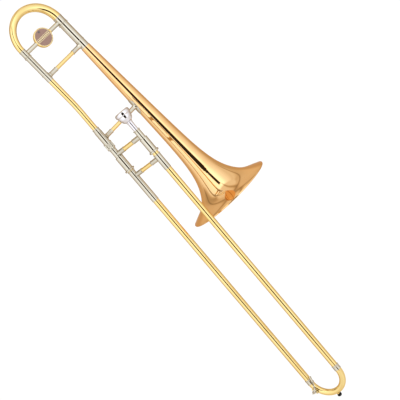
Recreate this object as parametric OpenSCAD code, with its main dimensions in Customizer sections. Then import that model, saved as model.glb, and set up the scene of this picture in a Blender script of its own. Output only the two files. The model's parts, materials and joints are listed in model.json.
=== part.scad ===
// Straight tenor trombone, with its mouthpiece in and its slide closed.
// Millimetres. +Y is forward along the slide, +Z is up, and the bell lies to the left (-X).
// The origin is the front face of the neck receiver, on the axis of the lower slide tube.
// The bell section lies in its own plane, turned away from the slide's plane about the Y axis.

/* [Bell] */
// Outer radius of the bell's rim
rim_r = 107; // [100:0.5:112]
// Wall of the bell
bell_wall = 0.7; // [0.5:0.1:1.2]
// Length of the bell from the tuning slide sleeve to its rim
bell_len = 471; // [440:1:500]

/* [Bell section layout] */
// Angle between the plane of the bell section and the plane of the slide, degrees
bell_turn = 64; // [58:1:90]
// Angle between the bell's axis and the slide's axis, degrees
gooseneck_bend = 4.6; // [3.5:0.1:5.5]
// Distance between the bell's axis and the neck's leg
bell_gap = 121; // [116:0.5:130]
// How far the gooseneck's bend lies behind the neck receiver's front face
bend_back = 110; // [95:1:125]

/* [Tuning slide] */
// How far behind the gooseneck's bend the crook starts, along the leg
crook_start = 171.6; // [165:0.2:180]
// Outer radius of the sleeve on the bell's side
bell_sleeve_r = 10.8; // [10.4:0.1:11]
// Outer radius of the sleeve on the neck's side
neck_sleeve_r = 7.45; // [7.2:0.05:8]
// Radius of the round counterweight on the tuning slide's brace
weight_r = 22.5; // [18:0.5:26]
// Thickness of the counterweight
weight_t = 8.5; // [7:0.5:12]

/* [Slide] */
// Distance between the axes of the two slide tubes
slide_gap = 87; // [84:0.5:92]
// Outer radius of the outer slide tubes
outer_r = 7.5; // [7.4:0.05:7.6]
// Where the outer slide tubes end and the end bow starts
bow_y = 722; // [700:1:740]
// Where the cork barrels start
barrel_y = 37; // [36:0.5:40]
// Where the slide's closed flanges start
flange_y = 74; // [72:0.5:76]
// End of the upper slide tube's nickel oversleeve
upper_sleeve_end = 124; // [115:1:140]
// End of the lower slide tube's nickel oversleeve
lower_sleeve_end = 166; // [150:1:190]
// Where the hand brace crosses the outer slide
hand_brace_y = 93.5; // [92:0.5:98]

/* [Mouthpiece] */
// Outer radius of the mouthpiece's rim
mouth_r = 18.5; // [17:0.25:20]
// Inner radius of the mouthpiece's rim
mouth_in_r = 12.8; // [12:0.1:13.5]
// How far the mouthpiece's rim lies behind the neck receiver's front face
mouth_back = 38.8; // [37:0.2:42]

/* [Hidden] */
// Smoothness of the round parts
$fn = 64;
// Overcut of the bores
eps = 0.1;
// Play of a running fit, on the radius
fit = 0.05;
// Wall of the slide's outer tubes
outer_wall = 0.3;
// Outer radius of the inner slide tubes
inner_r = outer_r - outer_wall - 0.35;
// Inner radius of the inner slide tubes
inner_bore_r = inner_r - 0.3;
// Outer radius of the stockings on the inner slide tubes
stocking_r = outer_r - outer_wall - fit;
// Front end of the inner slide tubes
inner_end = bow_y - 22;
// Length of the stockings
stocking_len = 140;
// Outer radius of the slide's tenon in the neck receiver
tenon_r = 7.45;
// Outer radius of the cork barrels
barrel_r = 9.8;
// Inner radius of the cork barrels
barrel_bore_r = 8.1;
// Outer radius of the nickel oversleeves
sleeve_r = outer_r + 0.6;
// Where each oversleeve starts
upper_sleeve_y = flange_y + 9.5;
lower_sleeve_y = flange_y + 4.6;
// Radius of the seat that the slide lock ring turns on
lock_seat_r = 9;
// Radii of the fixed brace and of the hand brace on the slide
fixed_brace_r = 5.3;
hand_brace_r = 5;
// How much wider each of their sockets is
socket_wall = 0.5;
// Where the fixed brace crosses the inner slide: just behind the cork barrels
fixed_brace_y = barrel_y - fixed_brace_r - socket_wall - 0.5;
// Radius of the end bow's centre line
bow_r = slide_gap / 2;
// Mouth of the mouthpiece receiver
receiver_y = 13.5;
// Radius of the mouthpiece's shank at the receiver's mouth
shank_r = 5.9;
// Radius of the mouthpiece's shank at its tip
shank_tip_r = 5.35;
// Length of the shank inside the receiver
shank_in = 25;
// How far behind the gooseneck's bend the tuning slide's sleeves start and end
sleeve_back = crook_start - 19;
sleeve_front = 80.2;
// How far behind the bend each sleeve's front band starts
ring_front = 99.7;
// Radius of the bell section's two cross braces and of their sockets
bell_brace_r = 4.6;
bell_brace_socket_r = 5.3;
// Radius of the counterweight's brace, and of the bosses that hold it
weight_stub_r = 5;
boss_r = 5.4;
// How much deeper the tuning crook is than a half circle
crook_extra = 2.2;
// Width of the counterweight's raised edge
weight_edge = 1.5;
// How far behind the bend the upper brace and the counterweight's brace cross
brace_back = 90.5;
weight_back = 160.5;
// How far ahead of the bend the lower brace crosses
low_brace_s = 94.6;
// How far ahead of the bend the bell's rim lies
rim_s = bell_len - sleeve_front;
// Outer radius of the bell's wall inside its rolled rim, and the rim's inner radius
mouth_edge_r = rim_r - 0.9;
rim_in_r = rim_r - 3.3;
// Outer radius of the bell at its narrow end
stem_r = bell_sleeve_r + bell_wall;
// Shape of the bell: a straight cone, plus a flare, plus the lip's last turn
cone_slope = 0.0311;
lip_h = 17.3;
flare_h = mouth_edge_r - lip_h - stem_r - cone_slope * bell_len;
// Points on the bell's profile
bell_n = 56;
// Rings and sides of the bent tubes
bend_n = 36;
bend_m = 28;
// Front end of the gooseneck, along the slide
goose_end = -38;
// Outer radii of the gooseneck's ends
goose_r0 = 6.95;
goose_r1 = 6.6;
// Water key: where it sits round the bow, and the place of its nipple and its pivot
key_deg = 22;
nipple_around = -62;
pivot_around = 2;
pivot_r = outer_r + 4.6;
// Colours
brass = [0.86, 0.66, 0.28];
gold_brass = [0.84, 0.56, 0.26];
nickel = [0.78, 0.76, 0.7];
silver = [0.88, 0.88, 0.88];
chrome_c = [0.82, 0.83, 0.84];
enamel = [0.55, 0.42, 0.37];
rubber_c = [0.06, 0.06, 0.06];
cork_c = [0.72, 0.55, 0.36];
steel = [0.6, 0.6, 0.6];
felt_c = [0.16, 0.16, 0.17];
// Names of the sub-parts
// The sub-part to draw, or all of them

// Turns a shape drawn up the Z axis to run forward along +Y, starting at y
module forward(y) {
    translate([0, y, 0])
        rotate([-90, 0, 0])
            children();
}

// A pipe that runs forward from y0 to y1
module pipe(y0, y1, r, bore_r) {
    forward(y0)
        difference() {
            cylinder(h = y1 - y0, r = r);
            translate([0, 0, -eps])
                cylinder(h = y1 - y0 + 2 * eps, r = bore_r);
        }
}

// A rod that runs forward from y0 to y1
module rod(y0, y1, r) {
    forward(y0)
        cylinder(h = y1 - y0, r = r);
}

// A turned shape from [radius, station] points, running forward
module turned(y, points) {
    forward(y)
        rotate_extrude()
            polygon(points);
}

// Moves a shape from the lower slide tube to the upper one
module upper() {
    translate([0, 0, slide_gap])
        children();
}

// The bell section's frame: Z runs forward along the neck's leg and the bell,
// X points from the neck's leg to the bell, and the origin is the gooseneck's bend
module bell_frame() {
    translate([0, -bend_back, 0])
        rotate([0, -bell_turn, 0])
            rotate([gooseneck_bend, 0, 0])
                rotate(a = 240, v = [1, 1, 1])
                    children();
}

// A ring with a bore, up the Z axis from z0 to z1
module ring(z0, z1, r, bore_r) {
    translate([0, 0, z0])
        difference() {
            cylinder(h = z1 - z0, r = r);
            translate([0, 0, -eps])
                cylinder(h = z1 - z0 + 2 * eps, r = bore_r);
        }
}

// Radius of the bell at a distance back from its rim plane
function bell_at(x) =
    stem_r + cone_slope * (bell_len - x)
    + flare_h * exp(-pow(x / 43.9, 1.068))
    + lip_h * exp(-pow(x / 12.74, 1.92));

// Distances back from the rim plane, close together near the lip
function bell_x(i) = bell_len * pow(i / bell_n, 2.4);

// A ring of points of a bent tube: its centre [x, z], the angle from X of its own width, its radius
function bend_ring(c, turn, r) = [
    for (j = [0 : bend_m - 1])
        let(a = 360 * j / bend_m)
        [
            c[0] + r * cos(a) * cos(turn),
            r * sin(a),
            c[1] + r * cos(a) * sin(turn)
        ]
];

// A hollow bent tube through stations: [x, z, angle of the ring from X, outer radius]
module bent_tube(stations, wall) {
    n = len(stations);
    m = bend_m;
    outside = [for (s = stations) each bend_ring([s[0], s[1]], s[2], s[3])];
    inside = [for (s = stations) each bend_ring([s[0], s[1]], s[2], s[3] - wall)];
    o = n * m;
    walls = [
        for (i = [0 : n - 2])
            for (j = [0 : m - 1])
                let(k = (j + 1) % m)
                each [
                    [i * m + j, (i + 1) * m + j, (i + 1) * m + k, i * m + k],
                    [o + i * m + j, o + i * m + k, o + (i + 1) * m + k, o + (i + 1) * m + j]
                ]
    ];
    ends = [
        for (j = [0 : m - 1])
            let(k = (j + 1) % m, e = (n - 1) * m)
            each [
                [j, k, o + k, o + j],
                [e + j, o + e + j, o + e + k, e + k]
            ]
    ];
    polyhedron(points = concat(outside, inside), faces = concat(walls, ends), convexity = 8);
}

// A brace socket up the Z axis: a flared foot, a straight neck and a rolled end
module brace_socket(len, foot_r, neck_r) {
    rotate_extrude()
        polygon([
            [0, 0],
            [foot_r, 0],
            [foot_r, 1.2],
            [neck_r + 1.1, 3.2],
            [neck_r + 0.3, 5.6],
            [neck_r, 8],
            [neck_r, len - 2],
            [neck_r + 0.5, len - 1.4],
            [neck_r + 0.5, len - 0.4],
            [neck_r + 0.1, len],
            [0, len]
        ]);
}

// ---- Bell section ----

module bell() {
    color(gold_brass)
        bell_frame()
            translate([bell_gap, 0, rim_s])
                rotate_extrude($fn = 96)
                    polygon(concat(
                        [[mouth_edge_r, 0.6]],
                        [for (i = [0 : bell_n]) [bell_at(bell_x(i)), -bell_x(i)]],
                        [for (i = [bell_n : -1 : 0]) [bell_at(bell_x(i)) - bell_wall, -bell_x(i)]],
                        [[mouth_edge_r - bell_wall, 0.6]]
                    ));
}

module bell_rim() {
    color(gold_brass)
        bell_frame()
            translate([bell_gap, 0, rim_s])
                rotate_extrude($fn = 96)
                    polygon([
                        [rim_r - 2.2, 0],
                        [mouth_edge_r - bell_wall, 0],
                        [mouth_edge_r - bell_wall, 0.6],
                        [mouth_edge_r, 0.6],
                        [mouth_edge_r, -0.8],
                        [rim_r - 0.2, -0.6],
                        [rim_r, 0.2],
                        [rim_r, 1],
                        [rim_r - 0.4, 1.8],
                        [rim_r - 1, 2.2],
                        [rim_r - 2.4, 2.2],
                        [rim_r - 3, 2],
                        [rim_in_r, 1.6],
                        [rim_in_r, 0.4],
                        [rim_r - 3.1, 0.1]
                    ]);
}

module bell_sleeve() {
    color(nickel)
        bell_frame()
            translate([bell_gap, 0, 0])
                ring(-sleeve_back, 12 - sleeve_front, bell_sleeve_r, bell_sleeve_r - 0.5);
}

// The two narrow bands round a tuning slide sleeve
module sleeve_bands(r) {
    translate([0, 0, -sleeve_back])
        rotate_extrude()
            polygon([[r, 0], [r + 1, 0], [r + 1.5, 0.6], [r + 1.5, 2.2], [r + 1, 2.8], [r, 2.8]]);
    translate([0, 0, -ring_front])
        rotate_extrude()
            polygon([[r, 0], [r + 0.5, 0], [r + 0.8, 0.5], [r + 0.8, 1.6], [r + 0.5, 2.1], [r, 2.1]]);
}

module bell_sleeve_bands() {
    color(nickel)
        bell_frame()
            translate([bell_gap, 0, 0])
                sleeve_bands(bell_sleeve_r);
}

module neck_sleeve() {
    color(nickel)
        bell_frame()
            ring(-sleeve_back, -sleeve_front, neck_sleeve_r, neck_sleeve_r - 0.4);
}

module neck_sleeve_bands() {
    color(nickel)
        bell_frame()
            sleeve_bands(neck_sleeve_r);
}

// The gooseneck leaves the sleeve straight, bends to the slide's direction, and ends in the receiver
function goose_station(t) =
    let(
        a = sleeve_front + 8,
        b = bend_back + goose_end,
        len = a + b,
        d = len * t - a,
        half = 22,
        u = min(max((d + half) / (2 * half), 0), 1),
        r = gooseneck_bend * u,
        past = max(d - half, 0),
        arc = 2 * half * 180 / (PI * gooseneck_bend),
        x = d < -half ? 0 : -arc * (1 - cos(r)) - past * sin(r),
        z = d < -half ? d : -half + arc * sin(r) + past * cos(r)
    )
    [x, z, r, goose_r0 + (goose_r1 - goose_r0) * min(t / 0.95, 1)];

module gooseneck() {
    color(brass)
        bell_frame()
            bent_tube([for (i = [0 : 20]) goose_station(i / 20)], 0.5);
}

module neck_receiver() {
    color(nickel)
        turned(0, [
            [goose_r1, -45],
            [goose_r1 + 1.2, -45],
            [goose_r1 + 1.7, -44],
            [goose_r1 + 1.7, -42.6],
            [goose_r1 + 1.2, -41.8],
            [tenon_r + 1.1, -34],
            [tenon_r + 1.1, -4.4],
            [tenon_r + 0.95, -4.4],
            [tenon_r + 0.95, 0],
            [tenon_r + fit, 0],
            [tenon_r + fit, -36],
            [goose_r1 - 0.4, -36],
            [goose_r1 - 0.4, goose_end],
            [goose_r1, goose_end]
        ]);
}

module upper_brace_bell_socket() {
    color(nickel)
        bell_frame()
            difference() {
                translate([bell_gap - bell_sleeve_r + 2, 0, -brace_back])
                    rotate([0, -90, 0])
                        brace_socket(25, 6.7, bell_brace_socket_r);
                translate([bell_gap, 0, -brace_back - 20])
                    cylinder(h = 40, r = bell_sleeve_r);
                translate([bell_gap - 20, -20, -ring_front - 5])
                    cube([30, 40, 7.4]);
            }
}

module upper_brace_neck_socket() {
    color(nickel)
        bell_frame()
            difference() {
                translate([neck_sleeve_r - 2, 0, -brace_back])
                    rotate([0, 90, 0])
                        brace_socket(25, 6.7, bell_brace_socket_r);
                translate([0, 0, -brace_back - 20])
                    cylinder(h = 40, r = neck_sleeve_r);
                translate([-10, -20, -ring_front - 5])
                    cube([30, 40, 7.4]);
            }
}

module upper_brace_tube() {
    color(brass)
        bell_frame()
            translate([neck_sleeve_r + 23, 0, -brace_back])
                rotate([0, 90, 0])
                    cylinder(h = bell_gap - neck_sleeve_r - bell_sleeve_r - 46, r = bell_brace_r);
}

// Where the lower brace meets the neck receiver, along the slide and along the bell's frame
low_neck_y = low_brace_s / cos(gooseneck_bend) - bend_back;
low_neck_x = -low_brace_s * tan(gooseneck_bend);
// Radius of the bell where the lower brace meets it
low_bell_r = bell_at(rim_s - low_brace_s);

// The bell's outside as a solid cone over the length of the lower brace's plate
module bell_core(grow) {
    translate([bell_gap, 0, rim_s])
        rotate_extrude($fn = 96)
            polygon(concat(
                [[0, -bell_x(30)]],
                [for (i = [30 : 50]) [bell_at(bell_x(i)) + grow, -bell_x(i)]],
                [[0, -bell_x(50)]]
            ));
}

// The long foot plate soldered to the bell under the lower brace's socket
module lower_brace_bell_plate() {
    color(nickel)
        bell_frame()
            difference() {
                intersection() {
                    bell_core(1);
                    translate([bell_gap - low_bell_r - 4, 0, low_brace_s])
                        rotate([0, 90, 0])
                            scale([2.4, 1, 1])
                                cylinder(h = 10, r = 9);
                }
                bell_core(0);
            }
}

module lower_brace_bell_socket() {
    color(nickel)
        bell_frame()
            difference() {
                translate([bell_gap - low_bell_r + 2, 0, low_brace_s])
                    rotate([0, -90, 0])
                        brace_socket(26, 7.8, bell_brace_socket_r);
                bell_core(1);
            }
}

module lower_brace_neck_socket() {
    color(nickel)
        difference() {
            bell_frame()
                translate([low_neck_x + tenon_r - 1, 0, low_brace_s])
                    rotate([0, 90, 0])
                        brace_socket(22, 7.8, bell_brace_socket_r);
            rod(-60, 10, tenon_r + 1.1);
        }
}

module lower_brace_tube() {
    color(brass)
        bell_frame()
            translate([low_neck_x + tenon_r + 21, 0, low_brace_s])
                rotate([0, 90, 0])
                    cylinder(
                        h = bell_gap - low_bell_r - 24 - low_neck_x - tenon_r - 21,
                        r = bell_brace_r
                    );
}

// ---- Tuning slide ----

function crook_station(t) =
    [
        bell_gap / 2 * (1 - cos(180 * t)),
        -crook_start - (bell_gap / 2 + crook_extra) * sin(180 * t),
        180 * t,
        neck_sleeve_r + (bell_sleeve_r - neck_sleeve_r) * t
    ];

module tuning_crook() {
    color(brass)
        bell_frame()
            bent_tube([for (i = [bend_n : -1 : 0]) crook_station(i / bend_n)], 0.6);
}

// One leg of the tuning slide: it runs inside its sleeve
module tuning_leg(r) {
    ring(-crook_start, -sleeve_front - 10, r - fit, r - fit - 0.4);
}

module tuning_leg_bell() {
    color(nickel)
        bell_frame()
            translate([bell_gap, 0, 0])
                tuning_leg(bell_sleeve_r - 0.5);
}

module tuning_leg_neck() {
    color(nickel)
        bell_frame()
            tuning_leg(neck_sleeve_r - 0.4);
}

// A ferrule that joins the crook to a leg of the tuning slide
module crook_ferrule(r, leg_r) {
    translate([0, 0, -crook_start])
        difference() {
            rotate_extrude()
                polygon([
                    [0, 0],
                    [r + 0.3, 0],
                    [r + 0.7, 0.6],
                    [r + 0.7, 2],
                    [r + 0.2, 2.8],
                    [r + 0.2, 16.3],
                    [r + 0.9, 17],
                    [r + 0.9, 18.1],
                    [r + 0.4, 18.6],
                    [0, 18.6]
                ]);
            translate([0, 0, -eps])
                cylinder(h = 20, r = leg_r);
        }
}

module crook_ferrule_bell() {
    color(nickel)
        bell_frame()
            translate([bell_gap, 0, 0])
                crook_ferrule(bell_sleeve_r, bell_sleeve_r - 0.5 - fit);
}

module crook_ferrule_neck() {
    color(nickel)
        bell_frame()
            crook_ferrule(neck_sleeve_r, neck_sleeve_r - 0.4 - fit);
}

module tuning_brace_bell_stub() {
    color(nickel)
        bell_frame()
            difference() {
                translate([bell_gap / 2 + weight_r + 1.2, 0, -weight_back])
                    rotate([0, 90, 0])
                        cylinder(h = bell_gap / 2 - weight_r - 2, r = weight_stub_r);
                translate([bell_gap, 0, -weight_back - 20])
                    cylinder(h = 40, r = bell_sleeve_r + 0.2);
            }
}

module tuning_brace_neck_stub() {
    color(nickel)
        bell_frame()
            difference() {
                translate([0, 0, -weight_back])
                    rotate([0, 90, 0])
                        cylinder(h = bell_gap / 2 - weight_r - 1.2, r = weight_stub_r);
                translate([0, 0, -weight_back - 20])
                    cylinder(h = 40, r = neck_sleeve_r + 0.2);
            }
}

// The counterweight: a thick disc with a raised edge, a shallow seat on each face,
// and a boss at each end of its brace
module counterweight() {
    color(brass)
        bell_frame()
            translate([bell_gap / 2, 0, -weight_back])
                union() {
                    rotate([-90, 0, 0])
                        rotate_extrude()
                            polygon([
                                [0, -weight_t / 2 + 1.2],
                                [weight_r - weight_edge, -weight_t / 2 + 1.2],
                                [weight_r - weight_edge, -weight_t / 2],
                                [weight_r - 0.6, -weight_t / 2],
                                [weight_r, -weight_t / 2 + 0.6],
                                [weight_r, weight_t / 2 - 0.6],
                                [weight_r - 0.6, weight_t / 2],
                                [weight_r - weight_edge, weight_t / 2],
                                [weight_r - weight_edge, weight_t / 2 - 1.2],
                                [0, weight_t / 2 - 1.2]
                            ]);
                    for (way = [-90, 90])
                        rotate([0, way, 0])
                            translate([0, 0, weight_r - weight_edge + 0.2])
                                cylinder(h = weight_edge + 1, r = boss_r);
                }
}

// The thin enamel discs in the counterweight's two seats
module counterweight_inlay() {
    color(enamel)
        bell_frame()
            translate([bell_gap / 2, 0, -weight_back])
                difference() {
                    for (side = [-90, 90])
                        rotate([side, 0, 0])
                            translate([0, 0, weight_t / 2 - 1.2])
                                cylinder(h = 0.9, r = weight_r - weight_edge - 0.1);
                    rotate([-90, 0, 0])
                        translate([0, 15, weight_t / 2 - 2])
                            cylinder(h = 4, r = 2.5);
                }
}

module counterweight_screw() {
    color(steel)
        bell_frame()
            translate([bell_gap / 2, 0, -weight_back])
                rotate([-90, 0, 0])
                    translate([0, 15, weight_t / 2 - 1.2])
                        difference() {
                            cylinder(h = 1.1, r = 2.4);
                            translate([-3, -0.3, 0.6])
                                cube([6, 0.6, 1]);
                        }
}

// ---- Inner slide ----

module slide_tenon() {
    color(nickel)
        turned(0, [
            [tenon_r - 0.9, -35],
            [tenon_r, -35],
            [tenon_r, 14.2],
            [tenon_r + 0.9, 14.2],
            [tenon_r + 0.9, 16],
            [tenon_r, 16.6],
            [tenon_r, barrel_y],
            [tenon_r - 0.9, barrel_y]
        ]);
}

module cork_barrel_upper() {
    color(nickel)
        upper()
            turned(0, [
                [inner_r, barrel_y],
                [barrel_r - 0.6, barrel_y],
                [barrel_r, barrel_y + 0.8],
                [barrel_r, barrel_y + 3],
                [barrel_r - 0.3, barrel_y + 3.6],
                [barrel_r - 0.3, flange_y - 1.6],
                [10.8, flange_y - 1.4],
                [11.8, flange_y - 0.5],
                [12.2, flange_y + 0.7],
                [12.2, flange_y + 1.7],
                [11.8, flange_y + 2.7],
                [10.8, flange_y + 3.6],
                [barrel_bore_r, flange_y + 3.6],
                [barrel_bore_r, barrel_y + 4],
                [inner_r, barrel_y + 4]
            ]);
}

module cork_barrel_lower() {
    color(nickel)
        turned(0, [
            [inner_r, barrel_y],
            [barrel_r - 0.6, barrel_y],
            [barrel_r, barrel_y + 0.8],
            [barrel_r, barrel_y + 3],
            [barrel_r - 0.3, barrel_y + 3.6],
            [barrel_r - 0.3, flange_y - 1.4],
            [lock_seat_r, flange_y - 1.4],
            [lock_seat_r, flange_y + 3.6],
            [barrel_bore_r, flange_y + 3.6],
            [barrel_bore_r, barrel_y + 4],
            [inner_r, barrel_y + 4]
        ]);
}

module inner_tube_upper() {
    color(chrome_c)
        upper()
            pipe(barrel_y, inner_end, inner_r, inner_bore_r);
}

module inner_tube_lower() {
    color(chrome_c)
        pipe(barrel_y, inner_end, inner_r, inner_bore_r);
}

module stocking_upper() {
    color(chrome_c)
        upper()
            pipe(inner_end - stocking_len, inner_end, stocking_r, inner_r);
}

module stocking_lower() {
    color(chrome_c)
        pipe(inner_end - stocking_len, inner_end, stocking_r, inner_r);
}

// The leadpipe opens gently inside the upper inner tube
module leadpipe() {
    color(brass)
        upper()
            turned(0, [
                [inner_bore_r, barrel_y + 3],
                [inner_bore_r, barrel_y + 213],
                [inner_bore_r - 0.2, barrel_y + 213],
                [inner_bore_r - 0.9, barrel_y + 30],
                [inner_bore_r - 0.7, barrel_y + 3]
            ]);
}

module mouthpiece_receiver() {
    color(nickel)
        upper()
            turned(0, [
                [shank_r + 0.06, receiver_y],
                [8.2, receiver_y],
                [8.6, receiver_y + 0.5],
                [8.6, receiver_y + 1.9],
                [8, receiver_y + 2.5],
                [7.2, receiver_y + 3.5],
                [tenon_r, receiver_y + 8],
                [tenon_r, barrel_y],
                [shank_tip_r + 0.06, barrel_y],
                [shank_r + 0.06 - (shank_r - shank_tip_r) * (barrel_y - receiver_y) / shank_in, barrel_y]
            ]);
}

module slide_felts() {
    color(felt_c)
        for (z = [0, slide_gap])
            translate([0, 0, z])
                pipe(barrel_y + 4, barrel_y + 8.5, barrel_bore_r, inner_r);
}

// A straight brace socket that stands up from a slide tube, on a low saddle
module tube_socket(y, tube_r, len, r) {
    difference() {
        translate([0, y, 0])
            rotate_extrude()
                polygon([
                    [0, 0],
                    [r, 0],
                    [r, tube_r + len - 1.6],
                    [r + 0.35, tube_r + len - 1.2],
                    [r + 0.35, tube_r + len - 0.3],
                    [r, tube_r + len],
                    [0, tube_r + len]
                ]);
        rod(y - 12, y + 12, tube_r);
        translate([-12, y - 12, -24])
            cube(24);
    }
}

module fixed_brace_lower_socket() {
    color(nickel)
        tube_socket(fixed_brace_y, tenon_r, 20, fixed_brace_r + socket_wall);
}

module fixed_brace_upper_socket() {
    color(nickel)
        upper()
            mirror([0, 0, 1])
                tube_socket(fixed_brace_y, tenon_r, 20, fixed_brace_r + socket_wall);
}

module fixed_brace_tube() {
    color(brass)
        translate([0, fixed_brace_y, tenon_r + 20])
            cylinder(h = slide_gap - 2 * tenon_r - 40, r = fixed_brace_r);
}

// ---- Rings that turn ----

// The nut that locks the slide to the bell: knurled outside, with a lip at each end
module bell_lock_nut() {
    color(nickel)
        union() {
            turned(0, [
                [tenon_r + 0.95 + fit, -4],
                [9.9, -4],
                [10.3, -3.4],
                [10.3, -1.8],
                [9.7, -1.4],
                [9.7, 11.4],
                [10.1, 11.8],
                [10.1, 13],
                [9.7, 13.6],
                [tenon_r + fit, 13.6],
                [tenon_r + fit, 0.4],
                [tenon_r + 0.95 + fit, 0.4]
            ]);
            for (i = [0 : 23])
                rotate([0, i * 15, 0])
                    translate([9.6, 0, -0.55])
                        cube([0.5, 9.4, 1.1]);
        }
}

// The ring that locks the slide shut, with a thumb lug
module slide_lock_ring() {
    color(nickel)
        union() {
            turned(0, [
                [lock_seat_r + fit, flange_y - 1],
                [10.9, flange_y - 1],
                [11.8, flange_y - 0.2],
                [12.2, flange_y + 0.8],
                [12.2, flange_y + 1.6],
                [11.8, flange_y + 2.6],
                [10.9, flange_y + 3.4],
                [lock_seat_r + fit, flange_y + 3.4]
            ]);
            rotate([0, 150, 0])
                translate([11, flange_y - 0.4, -2])
                    cube([3, 3.2, 4]);
        }
}

// ---- Outer slide ----

module outer_tube_upper() {
    color(brass)
        upper()
            pipe(barrel_y + 9, bow_y, outer_r, outer_r - outer_wall);
}

module outer_tube_lower() {
    color(brass)
        pipe(barrel_y + 9, bow_y, outer_r, outer_r - outer_wall);
}

// A nickel sleeve round an outer tube, with a bead at its open end
module oversleeve(y0, y1) {
    turned(0, [
        [outer_r, y0],
        [sleeve_r + 0.6, y0],
        [sleeve_r + 1, y0 + 0.5],
        [sleeve_r + 1, y0 + 2],
        [sleeve_r + 0.4, y0 + 2.6],
        [sleeve_r, y0 + 2.6],
        [sleeve_r, y1 - 0.6],
        [sleeve_r - 0.4, y1],
        [outer_r, y1]
    ]);
}

module oversleeve_upper() {
    color(nickel)
        upper()
            oversleeve(upper_sleeve_y, upper_sleeve_end);
}

module oversleeve_lower() {
    color(nickel)
        oversleeve(lower_sleeve_y, lower_sleeve_end);
}

module hand_brace_lower_socket() {
    color(nickel)
        tube_socket(hand_brace_y, sleeve_r, 19, hand_brace_r + socket_wall);
}

module hand_brace_upper_socket() {
    color(nickel)
        upper()
            mirror([0, 0, 1])
                tube_socket(hand_brace_y, sleeve_r, 19, hand_brace_r + socket_wall);
}

module hand_brace_tube() {
    color(brass)
        translate([0, hand_brace_y, sleeve_r + 19])
            cylinder(h = slide_gap - 2 * sleeve_r - 38, r = hand_brace_r);
}

// The ferrule where an outer tube meets the end bow
module bow_ferrule() {
    turned(0, [
        [outer_r, bow_y - 13],
        [outer_r + 0.5, bow_y - 13],
        [outer_r + 0.9, bow_y - 12.4],
        [outer_r + 0.9, bow_y - 11],
        [outer_r + 0.6, bow_y - 10.4],
        [outer_r + 0.6, bow_y - 2.6],
        [outer_r + 0.9, bow_y - 2],
        [outer_r + 0.9, bow_y - 0.6],
        [outer_r + 0.5, bow_y],
        [outer_r, bow_y]
    ]);
}

module bow_ferrule_upper() {
    color(nickel)
        upper()
            bow_ferrule();
}

module bow_ferrule_lower() {
    color(nickel)
        bow_ferrule();
}

// Turns a flat shape round the end bow's half circle
module round_bow(steps) {
    translate([0, bow_y, bow_r])
        rotate([0, 90, 0])
            rotate_extrude(angle = 180, $fn = steps)
                translate([bow_r, 0])
                    children();
}

// The end bow without its bore
module bow_solid() {
    round_bow(192)
        circle(r = outer_r, $fn = 128);
}

// The water key's frame on the bow: Y runs along the tube, X points out of the bow's plane,
// and the whole is turned round the tube's own axis by an angle from X
module key_frame(around) {
    translate([0, bow_y, bow_r])
        rotate([key_deg, 0, 0])
            translate([0, 0, -bow_r])
                rotate([0, -around, 0])
                    children();
}

// A round piece that stands out of the bow from radius r0 to r1
module stud(around, r0, r1, r) {
    key_frame(around)
        translate([r0, 0, 0])
            rotate([0, 90, 0])
                cylinder(h = r1 - r0, r = r);
}

module end_bow() {
    color(brass)
        difference() {
            round_bow(64)
                difference() {
                    circle(r = outer_r);
                    circle(r = outer_r - 0.6);
                }
            stud(nipple_around, 0, outer_r + 2, 1.6);
        }
}

// The socket on the bow's crown that holds the bumper
module bumper_holder() {
    color(brass)
        difference() {
            translate([0, 0, bow_r])
                turned(bow_y + bow_r, [
                    [0, 4],
                    [3.6, 4],
                    [3.6, outer_r - 0.6],
                    [4.1, outer_r - 0.2],
                    [4.1, outer_r + 0.6],
                    [0, outer_r + 0.6]
                ]);
            bow_solid();
        }
}

module slide_bumper() {
    color(rubber_c)
        translate([0, 0, bow_r])
            turned(bow_y + bow_r + outer_r + 0.6, [
                [0, 0],
                [3.4, 0],
                [4.6, 0.9],
                [5.2, 2.3],
                [5.3, 3.8],
                [4.9, 5.4],
                [4, 6.7],
                [2.8, 7.4],
                [0, 7.4]
            ]);
}

module water_key_nipple() {
    color(nickel)
        difference() {
            stud(nipple_around, outer_r - 1.6, outer_r + 2.2, 3);
            stud(nipple_around, outer_r - 3, outer_r + 3, 1.6);
            bow_solid();
        }
}

// The saddle on the bow: a plate with two ears that hold the pivot screw
module water_key_saddle() {
    color(brass)
        difference() {
            key_frame(pivot_around)
                union() {
                    translate([outer_r - 3.5, -7.5, -4.2])
                        cube([4.9, 15, 8.4]);
                    for (y = [-7.5, 4.9])
                        translate([outer_r, y, -2.8])
                            cube([pivot_r - outer_r, 2.6, 5.6]);
                    for (y = [-7.5, 4.9])
                        translate([pivot_r, y, 0])
                            rotate([-90, 0, 0])
                                cylinder(h = 2.6, r = 2.8);
                }
            bow_solid();
            key_frame(pivot_around)
                translate([pivot_r, -10, 0])
                    rotate([-90, 0, 0])
                        cylinder(h = 20, r = 0.8);
        }
}

module water_key_screw() {
    color(steel)
        key_frame(pivot_around)
            translate([pivot_r, -7.9, 0])
                rotate([-90, 0, 0])
                    union() {
                        cylinder(h = 16.6, r = 0.8);
                        translate([0, 0, 15.5])
                            cylinder(h = 1.1, r = 1.7);
                    }
}

// The spring's coils round the pivot screw, beside the lever's barrel
module water_key_spring() {
    color(steel)
        key_frame(pivot_around)
            translate([pivot_r, 2, 0])
                rotate([-90, 0, 0])
                    for (i = [0 : 3])
                        translate([0, 0, 0.6 + i * 0.6])
                            rotate_extrude($fn = 32)
                                translate([1.3, 0])
                                    circle(r = 0.25, $fn = 16);
}

// A point over the slide's lower leg: u along the tube from the key, an angle round it, a radius
function leg_point(u, around, r) =
    let(
        turn = max(key_deg + u * 180 / (PI * bow_r), 0),
        back = min(u + key_deg * PI * bow_r / 180, 0),
        c = [0, bow_y + bow_r * sin(turn) + back, bow_r * (1 - cos(turn))]
    )
    c + r * [cos(around), -sin(around) * sin(turn), sin(around) * cos(turn)];

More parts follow.
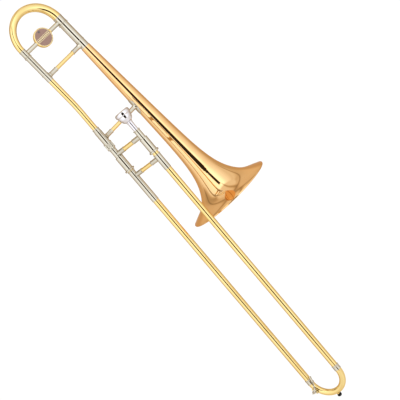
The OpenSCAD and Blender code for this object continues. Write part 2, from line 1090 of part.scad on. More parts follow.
// The lever's path from the cork's cup, over the pivot, and back along the tube to the touch
function lever_u(t) = -34 * pow(max((t - 0.48) / 0.52, 0), 1.3);
function lever_around(t) = nipple_around + (80 - nipple_around) * pow(max(t, 0), 0.85);
function lever_r(t) = pivot_r + 2.4 - 2 * pow(t, 2) - 0.5 * pow(1 - t, 6);
function lever_at(t) = leg_point(lever_u(t), lever_around(t), lever_r(t));
// Half width of the lever: wider at the cup and at the touch
function lever_w(t) = 1.75 + 0.9 * pow(t, 9) + 0.9 * pow(1 - t, 8);

function unit(v) = v / norm(v);

module lever_bar() {
    n = 26;
    m = 12;
    points = [
        for (i = [0 : n])
            let(
                t = i / n,
                p = lever_at(t),
                out = unit(p - leg_point(lever_u(t), 0, 0)),
                along = unit(lever_at(t + 0.01) - lever_at(t - 0.01)),
                wide = unit(cross(along, out))
            )
            for (j = [0 : m - 1])
                p + wide * lever_w(t) * cos(360 * j / m) + cross(along, wide) * 0.75 * sin(360 * j / m)
    ];
    sides = [
        for (i = [0 : n - 1])
            for (j = [0 : m - 1])
                let(k = (j + 1) % m)
                [i * m + j, (i + 1) * m + j, (i + 1) * m + k, i * m + k]
    ];
    polyhedron(
        points = points,
        faces = concat(sides, [[for (j = [0 : m - 1]) j], [for (j = [m - 1 : -1 : 0]) n * m + j]]),
        convexity = 6
    );
}

// The lever: a barrel on the screw, an arm to the cork's cup and its knob, and a touch piece
module water_key_lever() {
    color(nickel)
        difference() {
            union() {
                lever_bar();
                key_frame(pivot_around)
                    translate([pivot_r, -4.6, 0])
                        rotate([-90, 0, 0])
                            cylinder(h = 6.4, r = 1.9);
                stud(nipple_around, outer_r + 4.1, outer_r + 6.6, 4);
                stud(nipple_around, outer_r + 6, outer_r + 10, 1.4);
            }
            key_frame(pivot_around)
                translate([pivot_r, -8, 0])
                    rotate([-90, 0, 0])
                        cylinder(h = 16, r = 0.8 + fit);
            stud(nipple_around, outer_r, outer_r + 5.4, 3.5);
        }
}

module water_key_cork() {
    color(cork_c)
        stud(nipple_around, outer_r + 2.25, outer_r + 5.4, 3.5);
}

// ---- Mouthpiece ----

// Outside of the bowl between the rim band and the shank
function bowl_r(t) = 7.2 + (mouth_r - 1.9 - 7.2) * pow(cos(90 * t), 0.62);

module mouthpiece() {
    color(silver)
        upper()
            forward(-mouth_back)
                rotate_extrude()
                    polygon(concat(
                        [
                            [mouth_in_r, 2.4],
                            [mouth_in_r + 0.5, 1],
                            [mouth_in_r + 1.5, 0.2],
                            [mouth_in_r + 2.7, 0],
                            [mouth_r - 1.6, 0.7],
                            [mouth_r - 0.5, 1.9],
                            [mouth_r, 3.4],
                            [mouth_r, 8.4],
                            [mouth_r - 0.7, 9.6]
                        ],
                        [for (i = [0 : 10]) [bowl_r(i / 10), 10.4 + 18 * i / 10]],
                        [
                            [7.4, 29],
                            [7.4, 30.2],
                            [6.7, 31],
                            [shank_r + 0.5, 33],
                            [shank_r, mouth_back + receiver_y],
                            [shank_tip_r, mouth_back + receiver_y + shank_in],
                            [shank_tip_r - 0.6, mouth_back + receiver_y + shank_in],
                            [3.3, 33],
                            [3.4, 26],
                            [5.2, 22.5],
                            [8.4, 18],
                            [10.9, 12.6],
                            [12.3, 7]
                        ]
                    ));
}

bell();
bell_rim();
bell_sleeve();
bell_sleeve_bands();
neck_sleeve();
neck_sleeve_bands();
gooseneck();
neck_receiver();
upper_brace_tube();
upper_brace_bell_socket();
upper_brace_neck_socket();
lower_brace_tube();
lower_brace_bell_socket();
lower_brace_bell_plate();
lower_brace_neck_socket();
tuning_crook();
tuning_leg_bell();
tuning_leg_neck();
crook_ferrule_bell();
crook_ferrule_neck();
tuning_brace_bell_stub();
tuning_brace_neck_stub();
counterweight();
counterweight_inlay();
counterweight_screw();
slide_tenon();
cork_barrel_upper();
cork_barrel_lower();
inner_tube_upper();
inner_tube_lower();
stocking_upper();
stocking_lower();
leadpipe();
mouthpiece_receiver();
slide_felts();
fixed_brace_tube();
fixed_brace_upper_socket();
fixed_brace_lower_socket();
bell_lock_nut();
slide_lock_ring();
outer_tube_upper();
outer_tube_lower();
oversleeve_upper();
oversleeve_lower();
hand_brace_tube();
hand_brace_upper_socket();
hand_brace_lower_socket();
bow_ferrule_upper();
bow_ferrule_lower();
end_bow();
bumper_holder();
slide_bumper();
water_key_nipple();
water_key_saddle();
water_key_screw();
water_key_spring();
water_key_lever();
water_key_cork();
mouthpiece();
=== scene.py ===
import json
import math

import bmesh
import bpy
import numpy as np
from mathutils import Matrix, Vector


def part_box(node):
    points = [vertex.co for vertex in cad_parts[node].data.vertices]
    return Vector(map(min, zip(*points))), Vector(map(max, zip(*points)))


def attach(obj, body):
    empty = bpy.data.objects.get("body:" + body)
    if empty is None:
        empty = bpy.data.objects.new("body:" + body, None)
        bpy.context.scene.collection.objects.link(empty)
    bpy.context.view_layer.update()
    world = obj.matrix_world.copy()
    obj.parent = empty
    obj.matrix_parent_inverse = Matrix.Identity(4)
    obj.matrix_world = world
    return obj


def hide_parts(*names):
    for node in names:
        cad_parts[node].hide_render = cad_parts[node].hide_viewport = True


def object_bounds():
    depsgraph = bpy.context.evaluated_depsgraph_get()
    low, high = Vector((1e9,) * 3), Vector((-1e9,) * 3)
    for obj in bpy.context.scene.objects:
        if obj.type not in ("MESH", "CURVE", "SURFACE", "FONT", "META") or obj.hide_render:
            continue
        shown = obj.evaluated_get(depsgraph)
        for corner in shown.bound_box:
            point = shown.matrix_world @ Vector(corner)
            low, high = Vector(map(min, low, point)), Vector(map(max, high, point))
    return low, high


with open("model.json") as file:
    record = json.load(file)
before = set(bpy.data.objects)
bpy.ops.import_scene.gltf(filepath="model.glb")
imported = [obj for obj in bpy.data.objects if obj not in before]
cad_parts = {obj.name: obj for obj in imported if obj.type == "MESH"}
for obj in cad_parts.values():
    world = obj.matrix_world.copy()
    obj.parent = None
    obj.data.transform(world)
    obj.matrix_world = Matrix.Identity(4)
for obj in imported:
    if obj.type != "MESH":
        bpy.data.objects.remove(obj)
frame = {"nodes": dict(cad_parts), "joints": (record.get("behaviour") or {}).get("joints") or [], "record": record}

size_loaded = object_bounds()
record = frame["record"]
mounts = {m["name"]: m for m in record["mounts"]}
joints = {j["name"]: j for j in frame["joints"]}
slot_of = {p["node"]: p["material_slot"] for p in record["subparts"]}
body_of = {n: b for b, names in record["behaviour"]["bodies"].items() for n in names}
scene = bpy.context.scene
MM = 0.001


# ---- Axes and sizes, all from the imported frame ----

def middle(node):
    low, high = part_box(node)
    return (low + high) / 2


FORWARD = Vector((0, 1, 0))
BELL_WAY = -Vector(joints["tuning_slide_pull"]["axis"]).normalized()
LOWER = (Vector((0, 0, 0)), FORWARD)
UPPER = (Vector((0, 0, middle("outer_tube_upper").z)), FORWARD)
MIDDLE = (UPPER[0] / 2, FORWARD)
BELL = (Vector(mounts["bell_mouth"]["pos_m"]), BELL_WAY)


def coords(node):
    mesh = frame["nodes"][node].data
    flat = np.empty(len(mesh.vertices) * 3)
    mesh.vertices.foreach_get("co", flat)
    return flat.reshape(-1, 3)


def round_axis(node, way):
    """The axis of a round node, from the circle that fits its outermost vertices best."""
    side = way.orthogonal().normalized()
    up = way.cross(side)
    start = middle(node)
    v = coords(node) - np.array(start)
    flat = np.stack([v @ np.array(side), v @ np.array(up)], 1)
    far = np.linalg.norm(flat, axis=1)
    flat = flat[far > far.max() - 0.1 * MM]
    fit = np.linalg.lstsq(np.c_[2 * flat, np.ones(len(flat))], (flat**2).sum(1), rcond=None)[0]
    return start + side * fit[0] + up * fit[1], way


NECK = round_axis("neck_sleeve", BELL_WAY)


def about(node, axis):
    """The stations and the radii of a node's vertices about an axis."""
    v = coords(node) - np.array(axis[0])
    along = v @ np.array(axis[1])
    return along, np.linalg.norm(v - np.outer(along, axis[1]), axis=1)


def outlines(node, axis):
    """The (radius, station) lines that a node was turned from, read from its mesh.

    A line that reaches the axis is open. A node that wasn't turned about this axis gives None.
    """
    along, radius = about(node, axis)
    unique, back = np.unique(np.round(np.stack([radius, along], 1), 6), axis=0, return_inverse=True)
    corners, ids = [], []
    for r, s in unique:
        near = [k for k, c in enumerate(corners) if abs(c[0] - r) < 5e-6 and abs(c[1] - s) < 5e-6]
        if not near:
            corners.append((r, s))
        ids.append(near[0] if near else len(corners) - 1)
    ids = np.array(ids)[back.reshape(-1)]
    mesh = frame["nodes"][node].data
    ends = np.empty(len(mesh.edges) * 2, np.int32)
    mesh.edges.foreach_get("vertices", ends)
    links = {k: set() for k in range(len(corners))}
    for a, b in ids[ends].reshape(-1, 2):
        if a != b:
            links[a].add(b)
            links[b].add(a)
    if any(len(near) > 2 for near in links.values()):
        return None
    lines, left = [], set(links)
    while left:
        start = min(left, key=lambda k: (len(links[k]), k))
        chain, here = [start], start
        left.discard(start)
        while True:
            onward = [k for k in links[here] if k in left]
            if not onward:
                break
            here = onward[0]
            left.discard(here)
            chain.append(here)
        closed = len(chain) > 2 and start in links[here]
        line = [Vector(corners[k]) for k in chain]
        if not closed:
            line = [Vector((0, line[0].y))] * (line[0].x > 1e-6) + line
            line = line + [Vector((0, line[-1].y))] * (line[-1].x > 1e-6)
        lines.append((line, closed))
    return lines


def eased(line, closed, fillet):
    """The line with its sharp corners rounded; its gentle bends are left as they are."""
    n, out = len(line), []
    for i, b in enumerate(line):
        if not closed and i in (0, n - 1):
            out.append(b)
            continue
        u, v = b - line[i - 1], line[(i + 1) % n] - b
        if u.angle(v) < math.radians(28):
            out.append(b)
            continue
        cut = min(fillet, 0.4 * u.length, 0.4 * v.length)
        s, e = b - u.normalized() * cut, b + v.normalized() * cut
        for t in (0, 0.25, 0.5, 0.75, 1):
            out.append(s * (1 - t) ** 2 + b * 2 * t * (1 - t) + e * t * t)
    return out


def smooth(line, closed, parts):
    """More points along the gentle bends, on a curve through the given ones."""
    n, out = len(line), []
    for i in range(n if closed else n - 1):
        p0, p1, p2, p3 = (line[(i + k) % n] for k in (-1, 0, 1, 2))
        a, b, c = p1 - p0, p2 - p1, p3 - p2
        out.append(p1)
        inside = closed or 0 < i < n - 2
        if not inside or b.length < 0.4 * MM or min(a.length, c.length) * 5 < b.length:
            continue
        if max(a.angle(b, 0), b.angle(c, 0)) > math.radians(20):
            continue
        la, lb, lc = a.length, b.length, c.length
        m1 = (a / la - (p2 - p0) / (la + lb) + b / lb) * lb
        m2 = (b / lb - (p3 - p1) / (lb + lc) + c / lc) * lb
        for k in range(1, parts):
            t = k / parts
            out.append(
                p1 * (2 * t**3 - 3 * t**2 + 1) + m1 * (t**3 - 2 * t**2 + t)
                + p2 * (3 * t**2 - 2 * t**3) + m2 * (t**3 - t**2)
            )
    if not closed:
        out.append(line[-1])
    return out


# ---- Making pieces ----

def made(name, bm, sharp=38):
    """A smooth shaded object from a bmesh."""
    bmesh.ops.recalc_face_normals(bm, faces=bm.faces)
    mesh = bpy.data.meshes.new(name)
    bm.to_mesh(mesh)
    bm.free()
    mesh.shade_smooth()
    mesh.set_sharp_from_angle(angle=math.radians(sharp))
    piece = bpy.data.objects.new(name, mesh)
    scene.collection.objects.link(piece)
    even = piece.modifiers.new("Even normals", "WEIGHTED_NORMAL")
    even.keep_sharp = True
    return piece


def lathe(name, lines, axis, steps=96, relief=None):
    """Turns (radius, station) lines round an axis. relief gives a height at (radius, station, turn)."""
    point, way = axis
    side = way.orthogonal().normalized()
    up = way.cross(side)
    bm = bmesh.new()
    for line, closed in lines:
        rings = []
        for r, s in line:
            centre = point + way * s
            if r < 1e-6:
                rings.append([bm.verts.new(centre)] * steps)
                continue
            ring = []
            for k in range(steps):
                a = 2 * math.pi * k / steps
                height = r + (relief(r, s, a) if relief else 0)
                ring.append(bm.verts.new(centre + (side * math.cos(a) + up * math.sin(a)) * height))
            rings.append(ring)
        for a, b in zip(rings, rings[1:] + rings[:1] * closed):
            for k in range(steps):
                corners = dict.fromkeys((a[k], a[(k + 1) % steps], b[(k + 1) % steps], b[k]))
                if len(corners) > 2:
                    bm.faces.new(list(corners))
    return made(name, bm)


def sweep(name, stations, square, wall, sides=64):
    """A tube through (centre, direction, radius) stations in one plane, whose normal is square."""
    bm = bmesh.new()
    skins = []
    for inset in (0, wall):
        rings = []
        for centre, way, r in stations:
            side = square.cross(way).normalized()
            lift = way.cross(side).normalized()
            rings.append([
                bm.verts.new(centre + (side * math.cos(a) + lift * math.sin(a)) * (r - inset))
                for a in (2 * math.pi * k / sides for k in range(sides))
            ])
        for a, b in zip(rings, rings[1:]):
            for k in range(sides):
                bm.faces.new((a[k], a[(k + 1) % sides], b[(k + 1) % sides], b[k]))
        skins.append(rings)
    for end in (0, -1):
        a, b = skins[0][end], skins[1][end]
        for k in range(sides):
            bm.faces.new((a[k], a[(k + 1) % sides], b[(k + 1) % sides], b[k]))
    return made(name, bm)


def softened(node, width=0.12 * MM):
    """A copy of a CAD node whose edges are eased."""
    bm = bmesh.new()
    bm.from_mesh(frame["nodes"][node].data)
    bmesh.ops.remove_doubles(bm, verts=bm.verts, dist=2e-6)
    edges = [
        e for e in bm.edges
        if len(e.link_faces) == 2 and e.calc_face_angle(0) > math.radians(32)
    ]
    bmesh.ops.bevel(
        bm, geom=edges, offset=width, offset_type="OFFSET", segments=2,
        profile=0.5, affect="EDGES", clamp_overlap=True,
    )
    return made(node + "_piece", bm, 50)


def stands_for(piece, *replaced):
    """The piece takes the place of CAD nodes, on their body and in their material."""
    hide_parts(*replaced)
    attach(piece, body_of[replaced[0]])
    piece.data.materials.append(finish[slot_of[replaced[0]]])
    return piece


def turned(node, axis, fillet=0.25 * MM, steps=96, parts=1):
    """The node turned afresh with more steps and with eased corners."""
    lines = outlines(node, axis)
    if lines is None:
        print("not turned:", node)
        return stands_for(softened(node), node)
    fine = []
    for line, closed in lines:
        line = eased(line, closed, fillet)
        if parts > 1:
            line = smooth(line, closed, parts)
        fine.append((line, closed))
    return stands_for(lathe(node + "_piece", fine, axis, steps), node)


# ---- Materials ----

def shader(name):
    """An empty node material, with a short way to add nodes to it."""
    material = bpy.data.materials.new(name)
    material.use_nodes = True
    tree = material.node_tree
    tree.nodes.clear()

    def add(kind, props=None, **inputs):
        node = tree.nodes.new(kind)
        for key, value in (props or {}).items():
            setattr(node, key, value)
        for key, value in inputs.items():
            socket = node.inputs[int(key[1:]) if key[1:].isdigit() else key.replace("_", " ")]
            if isinstance(value, bpy.types.NodeSocket):
                tree.links.new(value, socket)
            else:
                socket.default_value = value
        return node

    return material, add


def rgb(c):
    return (*c, 1)


def noise(add, place, scale, detail=3.0, rough=0.5, stretch=(1, 1, 1)):
    spread = add("ShaderNodeMapping", Vector=place, Scale=stretch).outputs["Vector"]
    cloud = add("ShaderNodeTexNoise", Vector=spread, Scale=scale, Detail=detail, Roughness=rough)
    return cloud.outputs["Fac"]


def ramp(add, value, low, high, out=(0.0, 1.0)):
    return add(
        "ShaderNodeMapRange", {"interpolation_type": "SMOOTHSTEP"},
        Value=value, From_Min=low, From_Max=high, To_Min=out[0], To_Max=out[1],
    ).outputs["Result"]


def maths(add, kind, a, b=0.0):
    return add("ShaderNodeMath", {"operation": kind}, i0=a, i1=b).outputs["Value"]


def mixed(add, factor, a, b):
    node = add("ShaderNodeMix", {"data_type": "RGBA"})
    tree = node.id_data
    for socket, value in zip((node.inputs[0], node.inputs[6], node.inputs[7]), (factor, a, b)):
        if isinstance(value, bpy.types.NodeSocket):
            tree.links.new(value, socket)
        else:
            socket.default_value = value
    return node.outputs[2]


def metal(name, tint, shade, edge, rough, coat, wear, grain=(1, 1, 1)):
    """Polished metal: broad tarnish, polishing lines, smudges, brighter worn edges, darker hollows."""
    material, add = shader(name)
    place = add("ShaderNodeTexCoord").outputs["Object"]
    clouds = ramp(add, noise(add, place, 14, 4), 0.38, 0.66)
    smudges = ramp(add, noise(add, place, 55, 5, 0.6), 0.52, 0.75)
    lines = noise(add, place, 900, 3, 0.55, grain)
    specks = ramp(add, noise(add, place, 420, 6, 0.7), 0.62, 0.74)
    bend = add("ShaderNodeNewGeometry").outputs["Pointiness"]
    edges = maths(add, "MULTIPLY", ramp(add, bend, 0.56, 0.68), wear)
    hollows = ramp(add, bend, 0.46, 0.36, (0.0, 0.6))
    colour = mixed(add, maths(add, "MULTIPLY", clouds, 0.55), rgb(tint), rgb(shade))
    colour = mixed(add, maths(add, "MULTIPLY", specks, 0.25), colour, rgb([c * 0.72 for c in shade]))
    colour = mixed(add, hollows, colour, rgb([c * 0.4 for c in shade]))
    colour = mixed(add, edges, colour, rgb([min(1, c * 1.12 + 0.05) for c in tint]))
    dull = maths(add, "MULTIPLY", smudges, rough * 0.7)
    dull = maths(add, "ADD", dull, maths(add, "MULTIPLY", lines, rough))
    dull = maths(add, "ADD", dull, rough * 0.35)
    relief = maths(add, "ADD", lines, maths(add, "MULTIPLY", specks, 0.5))
    bump = add("ShaderNodeBump", Height=relief, Strength=0.12, Distance=0.00002).outputs["Normal"]
    surface = add(
        "ShaderNodeBsdfPrincipled", Base_Color=colour, Metallic=1.0, Roughness=dull, Normal=bump,
        Specular_Tint=rgb(edge),
        Coat_Weight=coat, Coat_Roughness=0.04, Coat_IOR=1.5,
    )
    add("ShaderNodeOutputMaterial", Surface=surface.outputs["BSDF"])
    return material


def plain(name, light, dark, rough, scale, bump, shine=0.5):
    """A matt stuff with flecks and a rough skin."""
    material, add = shader(name)
    place = add("ShaderNodeTexCoord").outputs["Object"]
    flecks = noise(add, place, scale, 6, 0.65)
    broad = noise(add, place, scale * 0.2, 3)
    colour = mixed(add, ramp(add, flecks, 0.35, 0.68), rgb(dark), rgb(light))
    colour = mixed(add, maths(add, "MULTIPLY", broad, 0.3), colour, rgb(dark))
    surface = add(
        "ShaderNodeBsdfPrincipled", Base_Color=colour, Specular_IOR_Level=shine,
        Roughness=ramp(add, flecks, 0.3, 0.7, rough),
        Normal=add("ShaderNodeBump", Height=flecks, Strength=bump, Distance=0.0002).outputs["Normal"],
    )
    add("ShaderNodeOutputMaterial", Surface=surface.outputs["BSDF"])
    return material


def enamel_with_ornament(centre, right, up, radius):
    """Brown enamel crossed by a gilt band: a row of lozenges between two lines."""
    material, add = shader("enamel")
    place = add("ShaderNodeTexCoord").outputs["Object"]

    def vector(kind, a, b):
        return add("ShaderNodeVectorMath", {"operation": kind}, i0=a, i1=tuple(b))

    from_centre = vector("SUBTRACT", place, centre).outputs["Vector"]

    def along(way):
        return vector("DOT_PRODUCT", from_centre, way / radius).outputs["Value"]

    x, y = along(right), along(up)

    def band(value, middle_value, half):
        off = maths(add, "ABSOLUTE", maths(add, "SUBTRACT", value, middle_value))
        return ramp(add, off, half, half * 0.6)

    squares = maths(add, "ADD", maths(add, "MULTIPLY", x, x), maths(add, "MULTIPLY", y, y))
    far = maths(add, "SQRT", squares)
    step = 0.2
    shifted = maths(add, "DIVIDE", maths(add, "ADD", x, step * 4.5), step)
    in_step = maths(add, "SUBTRACT", maths(add, "FRACT", shifted), 0.5)
    rise = maths(add, "ABSOLUTE", maths(add, "MULTIPLY", y, 3.2))
    lozenge = maths(add, "ADD", maths(add, "ABSOLUTE", in_step), rise)
    gilt = ramp(add, lozenge, 0.47, 0.40)
    gilt = maths(add, "MINIMUM", gilt, ramp(add, lozenge, 0.12, 0.18))
    gilt = maths(add, "MAXIMUM", gilt, band(maths(add, "ABSOLUTE", y), 0.185, 0.022))
    gilt = maths(add, "MULTIPLY", gilt, ramp(add, maths(add, "ABSOLUTE", x), 0.91, 0.89))
    gilt = maths(add, "MAXIMUM", gilt, band(far, 0.975, 0.02))
    flecks = noise(add, place, 700, 5)
    gilt = maths(add, "MULTIPLY", gilt, ramp(add, flecks, 0.28, 0.42))
    brown = mixed(add, noise(add, place, 90, 4), rgb((0.30, 0.175, 0.14)), rgb((0.37, 0.23, 0.19)))
    colour = mixed(add, gilt, brown, rgb((0.90, 0.80, 0.45)))
    surface = add(
        "ShaderNodeBsdfPrincipled", Base_Color=colour, Metallic=maths(add, "MULTIPLY", gilt, 0.5),
        Roughness=ramp(add, flecks, 0.2, 0.8, (0.35, 0.5)), Specular_IOR_Level=0.2,
        Normal=add("ShaderNodeBump", Height=gilt, Strength=0.35, Distance=0.0001).outputs["Normal"],
    )
    add("ShaderNodeOutputMaterial", Surface=surface.outputs["BSDF"])
    return material


weight_way = (middle("counterweight_screw") - middle("counterweight")).normalized()
disc_up = BELL_WAY.cross(middle("bell_sleeve") - NECK[0]).normalized()
if disc_up.dot(weight_way) < 0:
    disc_up = -disc_up
WEIGHT = (middle("counterweight"), disc_up)
inlay_r = about("counterweight_inlay", WEIGHT)[1].max()
disc_right = (middle("tuning_brace_bell_stub") - middle("tuning_brace_neck_stub")).normalized()

along_slide = (1, 0.05, 1)
finish = {
    "yellow_brass": metal(
        "yellow_brass", (0.88, 0.69, 0.30), (0.83, 0.60, 0.22), (1.0, 0.84, 0.52),
        0.045, 0.25, 0.5, along_slide,
    ),
    "gold_brass": metal(
        "gold_brass", (0.90, 0.60, 0.29), (0.84, 0.51, 0.22), (1.0, 0.73, 0.46),
        0.03, 0.25, 0.4, along_slide,
    ),
    "nickel_silver": metal(
        "nickel_silver", (0.62, 0.59, 0.50), (0.54, 0.50, 0.41), (0.62, 0.55, 0.45), 0.06, 0.1, 0.6,
    ),
    "hard_chrome": metal(
        "hard_chrome", (0.56, 0.57, 0.58), (0.50, 0.51, 0.52), (0.9, 0.9, 0.9),
        0.03, 0.0, 0.3, along_slide,
    ),
    "silver_plate": metal(
        "silver_plate", (0.76, 0.75, 0.80), (0.66, 0.64, 0.67), (0.7, 0.7, 0.75), 0.05, 0.0, 0.4,
    ),
    "spring_steel": metal(
        "spring_steel", (0.16, 0.15, 0.15), (0.08, 0.07, 0.07), (1.0, 1.0, 1.0), 0.30, 0.0, 0.6,
    ),
    "enamel": enamel_with_ornament(WEIGHT[0], disc_right, disc_right.cross(disc_up), inlay_r),
    "rubber": plain("rubber", (0.014, 0.012, 0.011), (0.005, 0.005, 0.005), (0.45, 0.7), 900, 0.4, 0.15),
    "cork": plain("cork", (0.55, 0.36, 0.19), (0.24, 0.13, 0.06), (0.7, 0.95), 1100, 0.9),
    "felt": plain("felt", (0.06, 0.06, 0.065), (0.02, 0.02, 0.022), (0.85, 1.0), 2600, 0.8),
}

# ---- Bell section ----

turned("bell", BELL, steps=288, parts=4)
turned("bell_rim", BELL, fillet=0.5 * MM, steps=288, parts=3)
turned("bell_sleeve", BELL)
turned("bell_sleeve_bands", BELL)
turned("neck_sleeve", NECK)
turned("neck_sleeve_bands", NECK)
turned("neck_receiver", LOWER)

# The neck's leg meets the slide's axis where the gooseneck bends
cross = FORWARD.cross(BELL_WAY)
bend = FORWARD * ((NECK[0].cross(BELL_WAY)).dot(cross) / cross.length_squared)
goose_along, goose_radius = about("gooseneck", NECK)
goose_back = NECK[0] + BELL_WAY * goose_along.min()
goose_front = Vector((0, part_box("gooseneck")[1].y, 0))
goose_r0 = goose_radius[goose_along < goose_along.min() + MM].max()
goose_r1 = about("gooseneck", LOWER)[1][coords("gooseneck")[:, 1] > goose_front.y - 4 * MM].max()
BEND_REACH = 22 * MM
a, c = bend - BELL_WAY * BEND_REACH, bend + FORWARD * BEND_REACH
path = [(goose_back, BELL_WAY), (a, BELL_WAY)]
for k in range(1, 12):
    t = k / 12
    way = (BELL_WAY * (1 - t) + FORWARD * t).normalized()
    path.append((a * (1 - t) ** 2 + bend * 2 * t * (1 - t) + c * t * t, way))
path += [(c, FORWARD), (goose_front - FORWARD * 8 * MM, FORWARD), (goose_front, FORWARD)]
stations = []
for k, (centre, way) in enumerate(path):
    run = (centre - goose_back).length / (goose_front - goose_back).length
    stations.append((centre, way, goose_r0 + (goose_r1 - goose_r0) * min(run / 0.95, 1)))
stands_for(sweep("gooseneck_piece", stations, cross.normalized(), 0.5 * MM), "gooseneck")

# ---- Tuning slide ----

leg = middle("tuning_leg_bell") - NECK[0]
gap = leg - BELL_WAY * leg.dot(BELL_WAY)
crook_s = about("crook_ferrule_neck", NECK)[0].min()
centre = NECK[0] + BELL_WAY * crook_s + gap / 2
neck_r = about("neck_sleeve", NECK)[1].max()
bell_r = about("bell_sleeve", BELL)[1].max()
depth = crook_s - about("tuning_crook", NECK)[0].min() - (neck_r + bell_r) / 2
stations = []
for k in range(97):
    t = k / 96
    a = math.pi * t
    place = centre - gap / 2 * math.cos(a) - BELL_WAY * depth * math.sin(a)
    way = gap.normalized() * math.sin(a) - BELL_WAY * math.cos(a)
    stations.append((place, way, neck_r + (bell_r - neck_r) * t))
stands_for(sweep("tuning_crook_piece", stations, disc_up, 0.6 * MM), "tuning_crook")
turned("tuning_leg_bell", BELL)
turned("tuning_leg_neck", NECK)
turned("crook_ferrule_bell", BELL)
turned("crook_ferrule_neck", NECK)
stands_for(softened("counterweight", 0.3 * MM), "counterweight")

# ---- Inner slide ----

for node, axis in {
    "slide_tenon": LOWER, "cork_barrel_upper": UPPER, "cork_barrel_lower": LOWER,
    "inner_tube_upper": UPPER, "inner_tube_lower": LOWER,
    "stocking_upper": UPPER, "stocking_lower": LOWER, "leadpipe": UPPER,
    "outer_tube_upper": UPPER, "outer_tube_lower": LOWER,
    "oversleeve_upper": UPPER, "oversleeve_lower": LOWER,
    "bow_ferrule_upper": UPPER, "bow_ferrule_lower": LOWER,
    "slide_bumper": MIDDLE, "mouthpiece_receiver": UPPER,
}.items():
    turned(node, axis, parts=3 if node == "slide_bumper" else 1)
turned("mouthpiece", UPPER, fillet=0.4 * MM, steps=160, parts=4)

# The lock nut, with a straight knurl between its two lips
nut_low, nut_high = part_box("bell_lock_nut")
nut_r, y0, y1 = nut_high.x, nut_low.y, nut_high.y
bore = about("bell_lock_nut", LOWER)[1].min()
nut_line = [
    (bore, y0), (nut_r - 0.4 * MM, y0), (nut_r, y0 + 0.6 * MM), (nut_r, y0 + 2.2 * MM),
    (nut_r - 0.6 * MM, y0 + 2.6 * MM), (nut_r - 0.25 * MM, y0 + 3.2 * MM),
    (nut_r - 0.25 * MM, y1 - 3.4 * MM), (nut_r - 0.6 * MM, y1 - 2.6 * MM),
    (nut_r - 0.2 * MM, y1 - 1.8 * MM), (nut_r - 0.2 * MM, y1 - 0.6 * MM),
    (nut_r - 0.6 * MM, y1), (bore, y1),
]


def knurl(r, s, a):
    in_band = y0 + 3 * MM < s < y1 - 3 * MM and r > nut_r - 0.4 * MM
    return -0.4 * MM * (0.5 - 0.5 * math.cos(a * 48)) * in_band


line = eased([Vector(p) for p in nut_line], True, 0.2 * MM)
stands_for(lathe("bell_lock_nut_piece", [(line, True)], LOWER, 480, knurl), "bell_lock_nut")

# ---- End bow ----

tube_r = about("outer_tube_lower", LOWER)[1].max()
bow_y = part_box("outer_tube_lower")[1].y
bow_r = UPPER[0].z / 2
stations = []
for k in range(97):
    a = math.pi * k / 96
    out = Vector((0, math.sin(a), -math.cos(a)))
    way = Vector((0, math.cos(a), math.sin(a)))
    stations.append((Vector((0, bow_y, bow_r)) + out * bow_r, way, tube_r))
stands_for(sweep("end_bow_piece", stations, Vector((1, 0, 0)), 0.6 * MM), "end_bow")

# The key's return spring: a wire coiled round the pivot
key_axis = Vector(joints["water_key_press"]["axis"]).normalized()
coil_middle = middle("water_key_spring")
along, radius = about("water_key_spring", (coil_middle, key_axis))
wire = 0.25 * MM
coil_r = radius.max() - wire
half = min(-along.min(), along.max()) - wire
side = key_axis.orthogonal().normalized()
up = key_axis.cross(side)
bm = bmesh.new()
rings = []
for k in range(161):
    t = k / 160
    a = 2 * math.pi * 3.5 * t
    out = side * math.cos(a) + up * math.sin(a)
    centre = coil_middle + key_axis * half * (2 * t - 1) + out * coil_r
    rings.append([
        bm.verts.new(centre + (out * math.cos(b) + key_axis * math.sin(b)) * wire)
        for b in (2 * math.pi * j / 12 for j in range(12))
    ])
for a, b in zip(rings, rings[1:]):
    for j in range(12):
        bm.faces.new((a[j], a[(j + 1) % 12], b[(j + 1) % 12], b[j]))
bm.faces.new(rings[0])
bm.faces.new(rings[-1])
stands_for(made("water_key_spring_piece", bm), "water_key_spring")

# ---- The rest keep their CAD shape, with eased edges ----

for node in frame["nodes"]:
    if node + "_piece" not in scene.objects:
        stands_for(softened(node), node)

# ---- The studio ----

centre = (size_loaded[0] + size_loaded[1]) / 2


def fade(value, start, end):
    t = min(max((value - start) / (end - start), 0), 1)
    return t * t * (3 - 2 * t)


TENT_R = 1.8
TENT_TURNS = 240


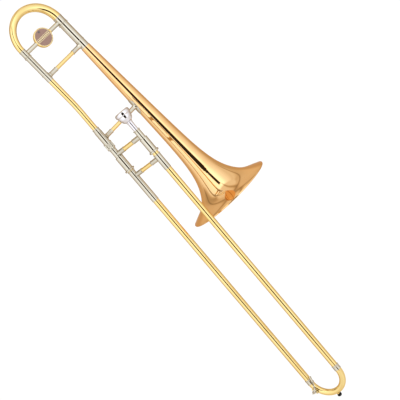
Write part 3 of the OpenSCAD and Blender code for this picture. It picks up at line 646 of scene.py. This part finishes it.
def tent_light(off, y, r):
    """The tent's brightness at an angle from the camera's side, a place along the slide and a radius."""
    side = abs(off)
    levels = (1.8, 1.8, 1.2, 0.95, 0.62, 0.62) if off > 0 else (1.6, 1.6, 1.35, 1.1, 0.7, 0.62)
    light = float(np.interp(side, (0, 22, 50, 85, 118, 180), levels))
    light += (0.8 - light) * fade(y, 0.5, 1.2) * fade(side, 80, 110)
    light *= 1 - 0.1 * fade(y, 0.45, 1.2)
    light += (0.95 - light) * 0.8 * fade(y, 1.15, 1.4)
    # The wall behind the bell is dimmer where it turns away
    levels = (0.9, 0.9, 0.72, 0.75, 0.85) if off > 0 else (0.75, 0.52, 0.58, 0.75, 0.85)
    behind = float(np.interp(side, (88, 106, 125, 142, 165), levels))
    light += (behind - light) * fade(side, 78, 100) * fade(-y, 0.35, 0.8)
    light += (0.95 - light) * fade(TENT_R - r, 0.0, 0.5) * fade(-y, 2.5, 3.0)
    # Two soft creases: where the far wall meets the end wall, and across the end wall
    away, above = r * math.cos(math.radians(off)), r * math.sin(math.radians(off))
    corner = (away - 0.62 * (y - 0.2)) / 0.13
    crease = (above + 0.12 * (y - 0.2)) / 0.14
    light *= 1 - 0.42 * math.exp(-corner * corner) * fade(-y, 0.2, 0.7)
    light *= 1 - 0.42 * math.exp(-crease * crease) * fade(-y, 2.3, 3.0)
    # The gap is narrower behind the bell, and closes towards both ends
    narrow = 1 - 0.52 * fade(-y, 0.2, 0.65)
    dark = 0.03 + 0.35 * fade(y, 1.0, 1.18)
    dark += (light - dark) * max(fade(y, 1.2, 1.4), fade(-y, 2.3, 2.6))
    return dark + (light - dark) * fade(side, 15 * narrow, 20 * narrow)


CAMERA_PLACE = Vector((2.4638, -0.1305, 2.0142))
look = CAMERA_PLACE - centre
facing = math.atan2(look.z, look.x)

# A long white tent round the trombone, open only where the camera looks in. It shows in the metal alone.
bm = bmesh.new()
glow = bm.verts.layers.float.new("glow")
rings = []
for y, r in (
    [(-3.05, 0.01 + 0.085 * k) for k in range(21)] + [(-3 + 0.05 * k, TENT_R) for k in range(105)]
    + [(2.35, 1.5), (2.5, 0.9), (2.6, 0.02)]
):
    ring = []
    for k in range(TENT_TURNS):
        a = 2 * math.pi * k / TENT_TURNS
        x, z = centre.x + math.cos(facing + a) * r, centre.z + math.sin(facing + a) * r
        v = bm.verts.new((x, y, z))
        v[glow] = tent_light((k * 360 / TENT_TURNS + 180) % 360 - 180, y, r)
        ring.append(v)
    rings.append(ring)
for a, b in zip(rings, rings[1:]):
    for k in range(TENT_TURNS):
        bm.faces.new((a[k], a[(k + 1) % TENT_TURNS], b[(k + 1) % TENT_TURNS], b[k]))
tent = made("tent", bm)
tent.modifiers.clear()
material, add = shader("tent")
level = add("ShaderNodeAttribute", {"attribute_name": "glow"}).outputs["Fac"]
hue = mixed(add, ramp(add, level, 0.5, 1.25), rgb((1.0, 0.78, 0.54)), rgb((1, 1, 1)))
lamp = add("ShaderNodeEmission", Color=hue, Strength=level)
add("ShaderNodeOutputMaterial", Surface=lamp.outputs["Emission"])
tent.data.materials.append(material)
tent.visible_camera = False
tent.visible_shadow = False
tent.visible_diffuse = False

bm = bmesh.new()
bm.faces.new([bm.verts.new((x, y, -1.75)) for x, y in ((-40, -40), (40, -40), (40, 40), (-40, 40))])
floor = made("floor", bm)
floor.modifiers.clear()
material, add = shader("floor")
place = add("ShaderNodeTexCoord").outputs["Object"]
tone = mixed(add, noise(add, place, 3, 4), rgb((0.93, 0.93, 0.93)), rgb((0.96, 0.96, 0.96)))
surface = add("ShaderNodeBsdfDiffuse", Color=tone)
add("ShaderNodeOutputMaterial", Surface=surface.outputs["BSDF"])
floor.data.materials.append(material)

world = bpy.data.worlds.new("tent")
world.use_nodes = True
world.node_tree.nodes["Background"].inputs["Color"].default_value = (1, 1, 1, 1)
world.node_tree.nodes["Background"].inputs["Strength"].default_value = 1.1
scene.world = world
scene.view_settings.view_transform = "Standard"

camera = bpy.data.objects.new("camera", bpy.data.cameras.new("camera"))
camera.location = CAMERA_PLACE
camera.rotation_euler = (0.6419, -0.70471, 2.14206)
camera.data.sensor_width = 36
camera.data.lens = 127.24
scene.collection.objects.link(camera)
scene.camera = camera
